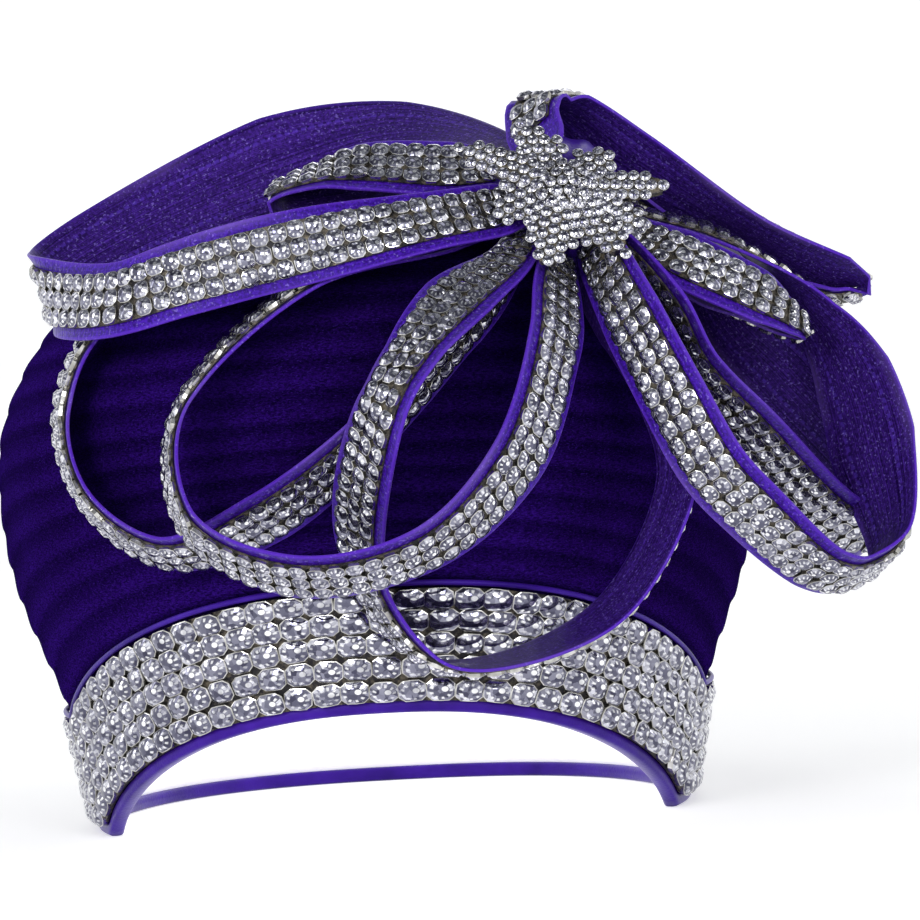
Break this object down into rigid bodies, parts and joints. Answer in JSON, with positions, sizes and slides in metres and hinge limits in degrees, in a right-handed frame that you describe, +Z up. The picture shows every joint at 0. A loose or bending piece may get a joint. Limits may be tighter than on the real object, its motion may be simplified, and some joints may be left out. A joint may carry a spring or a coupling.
{
  "type": "church hat",
  "caption": "Domed satin church hat with a crystal band round an arched rim and a bow of crystal-trimmed ribbon loops under a leaf brooch.",
  "frame": {"origin": "middle of the hat's own bounding box, on the plane that its rim stands on", "axes": "+Z up, +X to the viewer's right as the front is looked at, +Y from the front (bow side) to the back"},
  "size_m": [0.2688, 0.3004, 0.2122],
  "materials": {
    "crown_satin": "deep purple satin in narrow folds",
    "ribbon_satin": "purple satin ribbon",
    "edge_satin": "purple satin piping and binding",
    "crystal": "clear cut acrylic stones with foiled backs in silver cups"
  },
  "bodies": {
    "root": {"crown": "crown_satin", "crystal_band": "crystal", "band_piping": "edge_satin", "rim_binding": "edge_satin", "bow_knot": "ribbon_satin", "ribbon_left_front": "ribbon_satin", "trim_left_front": "crystal", "ribbon_left_inner": "ribbon_satin", "trim_left_inner": "crystal", "ribbon_left_far": "ribbon_satin", "trim_left_far": "crystal", "ribbon_left_low": "ribbon_satin", "trim_left_low": "crystal", "ribbon_middle_low": "ribbon_satin", "trim_middle_low": "crystal", "ribbon_right_front": "ribbon_satin", "trim_right_front": "crystal", "ribbon_right_inner": "ribbon_satin", "trim_right_inner": "crystal", "ribbon_right_small": "ribbon_satin", "trim_right_small": "crystal", "ribbon_right_top": "ribbon_satin", "trim_right_top": "crystal", "brooch": "crystal"}
  },
  "joints": []
}
